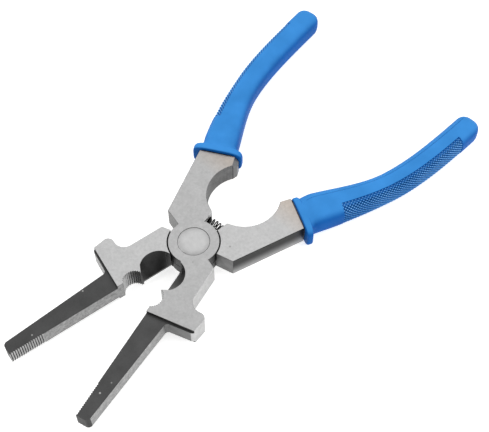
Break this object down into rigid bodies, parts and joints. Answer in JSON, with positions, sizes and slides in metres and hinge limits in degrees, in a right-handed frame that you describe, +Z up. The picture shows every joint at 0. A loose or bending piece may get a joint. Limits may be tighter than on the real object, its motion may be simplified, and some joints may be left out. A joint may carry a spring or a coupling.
{
  "type": "welding pliers",
  "caption": "Spring-opened welding pliers with serrated needle nose, tip notch, wire cutter, hammer head, concave nozzle grips and moulded handle grips.",
  "frame": {"origin": "centre of the pivot rivet's lower face, level with the underside of both levers", "axes": "+Y along the closing plane towards the handles (the noses point to -Y), +Z up along the pivot axis, square to the levers' flat faces"},
  "size_m": [0.0954, 0.1959, 0.0135],
  "materials": {
    "upper_lever_steel": "ground flat top and bottom, black oxide on the nose",
    "lower_lever_steel": "ground flat top and bottom, black oxide on the nose",
    "rivet_steel": "ground flush with the lever",
    "spring_wire": "blackened spring steel wire",
    "grip_vinyl": "satin moulded vinyl with a diamond-knurled outer side"
  },
  "bodies": {
    "lower_half": {"lower_lever": "lower_lever_steel", "lower_grip": "grip_vinyl", "pivot_rivet": "rivet_steel", "return_spring": "spring_wire"},
    "upper_half": {"upper_lever": "upper_lever_steel", "upper_grip": "grip_vinyl"}
  },
  "joints": [
    {"name": "pivot", "type": "hinge", "parent": "lower_half", "child": "upper_half", "pos_m": [0, 0, 0.0047], "axis": [0, 0, 1], "range_deg": [-24.5, 21.5], "stiffness_Nm_per_rad": 0.24, "deforming": ["return_spring"]}
  ]
}
